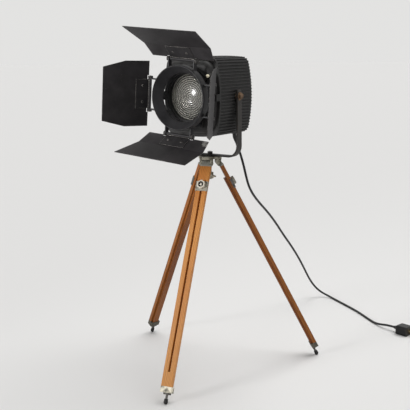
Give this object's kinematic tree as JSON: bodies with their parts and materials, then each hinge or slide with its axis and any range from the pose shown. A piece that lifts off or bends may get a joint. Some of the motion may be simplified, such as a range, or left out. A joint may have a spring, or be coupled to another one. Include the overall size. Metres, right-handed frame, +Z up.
{
  "type": "tripod spotlight lamp",
  "caption": "Theatre spotlight with a stepped lens and hinged barn doors, in a tilting yoke on a folding wooden tripod with sliding legs, with its mains cord and plug.",
  "frame": {"origin": "on the floor, under the axis of the tripod head and the pan screw", "axes": "+Z up; the lamp looks along -Y; +X is the lamp's left-hand side as it looks out, the side without the tilt knob"},
  "size_m": [0.8931, 1.2957, 1.1843],
  "materials": {
    "black_paint": "satin, worn",
    "grey_black_strap": "satin, worn",
    "varnished_wood": "satin varnish",
    "dark_wood": "satin varnish",
    "cast_grey": "dull",
    "zinc_steel": "dull",
    "aged_brass": "tarnished",
    "lens_glass": "clear",
    "lamp_glass": "clear",
    "bright_metal": "polished",
    "ceramic": "glazed",
    "black_plastic": "matte",
    "black_rubber": "matte",
    "plug_plastic": "satin",
    "pin_brass": "bright"
  },
  "bodies": {
    "tripod_head": {"head_plate": "cast_grey", "leg_brackets": "cast_grey"},
    "pan_screw": {"pan_screw": "zinc_steel", "pan_knob": "cast_grey"},
    "yoke": {"yoke": "grey_black_strap", "cord": "black_rubber", "plug_body": "plug_plastic", "plug_pins": "pin_brass"},
    "housing": {"housing_shell": "black_paint", "rear_cover": "black_paint", "rear_cover_screws": "zinc_steel", "trunnion_bolts": "aged_brass", "cord_gland": "black_plastic", "strain_relief": "black_rubber", "terminal_block": "ceramic", "guide_rods": "zinc_steel", "door_hinge": "black_paint", "door_catch": "black_paint"},
    "lamp_carriage": {"lamp_carriage": "zinc_steel", "lamp_socket": "ceramic", "lamp_bulb": "lamp_glass", "reflector": "bright_metal"},
    "focus_drive": {"focus_screw": "zinc_steel", "focus_knob": "black_plastic"},
    "tilt_knob": {"tilt_knob": "black_plastic"},
    "lens_door": {"lens_door": "black_paint", "fresnel_lens": "lens_glass", "lens_clip": "zinc_steel", "frame_runners": "black_paint"},
    "frame_latch": {"frame_latch": "aged_brass"},
    "barndoor_ring": {"barndoor_ring": "black_paint"},
    "leaf_top": {"leaf_top": "black_paint", "leaf_top_hinge": "black_paint"},
    "leaf_right": {"leaf_right": "black_paint", "leaf_right_hinge": "black_paint"},
    "leaf_bottom": {"leaf_bottom": "black_paint", "leaf_bottom_hinge": "black_paint"},
    "leaf_left": {"leaf_left": "black_paint", "leaf_left_hinge": "black_paint"},
    "leg_1_upper": {"leg_1_board": "varnished_wood", "leg_1_fittings": "cast_grey"},
    "leg_1_lower": {"leg_1_bar": "dark_wood", "leg_1_foot": "zinc_steel", "leg_1_tip": "black_rubber", "leg_1_clamp": "zinc_steel"},
    "leg_1_knob": {"leg_1_knob": "cast_grey"},
    "leg_2_upper": {"leg_2_board": "varnished_wood", "leg_2_fittings": "cast_grey"},
    "leg_2_lower": {"leg_2_bar": "dark_wood", "leg_2_foot": "zinc_steel", "leg_2_tip": "black_rubber", "leg_2_clamp": "zinc_steel"},
    "leg_2_knob": {"leg_2_knob": "cast_grey"},
    "leg_3_upper": {"leg_3_board": "varnished_wood", "leg_3_fittings": "cast_grey"},
    "leg_3_lower": {"leg_3_bar": "dark_wood", "leg_3_foot": "zinc_steel", "leg_3_tip": "black_rubber", "leg_3_clamp": "zinc_steel"},
    "leg_3_knob": {"leg_3_knob": "cast_grey"}
  },
  "joints": [
    {"name": "pan_screw_turn", "type": "hinge", "parent": "tripod_head", "child": "pan_screw", "pos_m": [0, 0, 0.704], "axis": [0, 0, 1], "range_deg": [-180, 180]},
    {"name": "pan", "type": "hinge", "parent": "tripod_head", "child": "yoke", "pos_m": [0, 0, 0.752], "axis": [0, 0, 1], "range_deg": [-170, 170]},
    {"name": "tilt", "type": "hinge", "parent": "yoke", "child": "housing", "pos_m": [0, 0, 0.956], "axis": [-1, 0, 0], "range_deg": [-30, 50]},
    {"name": "tilt_knob_turn", "type": "hinge", "parent": "housing", "child": "tilt_knob", "pos_m": [-0.135, 0, 0.956], "axis": [-1, 0, 0], "range_deg": [-180, 180]},
    {"name": "focus_turn", "type": "hinge", "parent": "housing", "child": "focus_drive", "pos_m": [0, 0.1, 0.864], "axis": [0, 1, 0], "range_deg": [-1261, 1261]},
    {"name": "carriage_slide", "type": "slide", "parent": "housing", "child": "lamp_carriage", "axis": [0, 1, 0], "range_m": [-0.028, 0.028]},
    {"name": "door_swing", "type": "hinge", "parent": "housing", "child": "lens_door", "pos_m": [-0.11, -0.112, 0.956], "axis": [0, 0, -1], "range_deg": [0, 80]},
    {"name": "latch_turn", "type": "hinge", "parent": "lens_door", "child": "frame_latch", "pos_m": [0.089, -0.13, 1.026], "axis": [0, 1, 0], "range_deg": [0, 90]},
    {"name": "ring_turn", "type": "hinge", "parent": "lens_door", "child": "barndoor_ring", "pos_m": [0, -0.15, 0.956], "axis": [0, -1, 0], "continuous": true},
    {"name": "leaf_top_swing", "type": "hinge", "parent": "barndoor_ring", "child": "leaf_top", "pos_m": [0.00978, -0.164, 1.07761], "axis": [0.9968, 0, -0.0802], "range_deg": [-52.7, 77.3]},
    {"name": "leaf_right_swing", "type": "hinge", "parent": "barndoor_ring", "child": "leaf_right", "pos_m": [0.12709, -0.164, 0.94578], "axis": [0.0802, 0, 0.9968], "range_deg": [-69, 71]},
    {"name": "leaf_bottom_swing", "type": "hinge", "parent": "barndoor_ring", "child": "leaf_bottom", "pos_m": [-0.00978, -0.164, 0.83439], "axis": [-0.9968, 0, 0.0802], "range_deg": [-66.8, 63.2]},
    {"name": "leaf_left_swing", "type": "hinge", "parent": "barndoor_ring", "child": "leaf_left", "pos_m": [-0.12709, -0.164, 0.96623], "axis": [-0.0802, 0, -0.9968], "range_deg": [-62.3, 77.7]},
    {"name": "leg_1_fold", "type": "hinge", "parent": "tripod_head", "child": "leg_1_upper", "pos_m": [0.00584, -0.02636, 0.727], "axis": [0.9763, 0.2164, 0], "range_deg": [0, 27.1]},
    {"name": "leg_1_slide", "type": "slide", "parent": "leg_1_upper", "child": "leg_1_lower", "axis": [0.0986, -0.4447, -0.8902], "range_m": [0, 0.6]},
    {"name": "leg_1_knob_turn", "type": "hinge", "parent": "leg_1_lower", "child": "leg_1_knob", "pos_m": [0.01692, -0.07631, 0.65995], "axis": [-0.1927, 0.8691, -0.4555], "range_deg": [-180, 180]},
    {"name": "leg_2_fold", "type": "hinge", "parent": "tripod_head", "child": "leg_2_upper", "pos_m": [0.01991, 0.01824, 0.727], "axis": [-0.6756, 0.7373, 0], "range_deg": [0, 27.1]},
    {"name": "leg_2_slide", "type": "slide", "parent": "leg_2_upper", "child": "leg_2_lower", "axis": [0.3359, 0.3078, -0.8902], "range_m": [0, 0.6]},
    {"name": "leg_2_knob_turn", "type": "hinge", "parent": "leg_2_lower", "child": "leg_2_knob", "pos_m": [0.05763, 0.05281, 0.65995], "axis": [-0.6563, -0.6014, -0.4555], "range_deg": [-180, 180]},
    {"name": "leg_3_fold", "type": "hinge", "parent": "tripod_head", "child": "leg_3_upper", "pos_m": [-0.02575, 0.00812, 0.727], "axis": [-0.3007, -0.9537, 0], "range_deg": [0, 27.1]},
    {"name": "leg_3_slide", "type": "slide", "parent": "leg_3_upper", "child": "leg_3_lower", "axis": [-0.4345, 0.137, -0.8902], "range_m": [0, 0.6]},
    {"name": "leg_3_knob_turn", "type": "hinge", "parent": "leg_3_lower", "child": "leg_3_knob", "pos_m": [-0.07455, 0.0235, 0.65995], "axis": [0.849, -0.2677, -0.4555], "range_deg": [-180, 180]}
  ],
  "couplings": [
    {"joint": "focus_turn", "follows": "carriage_slide", "rad_per_m": 785.4}
  ]
}
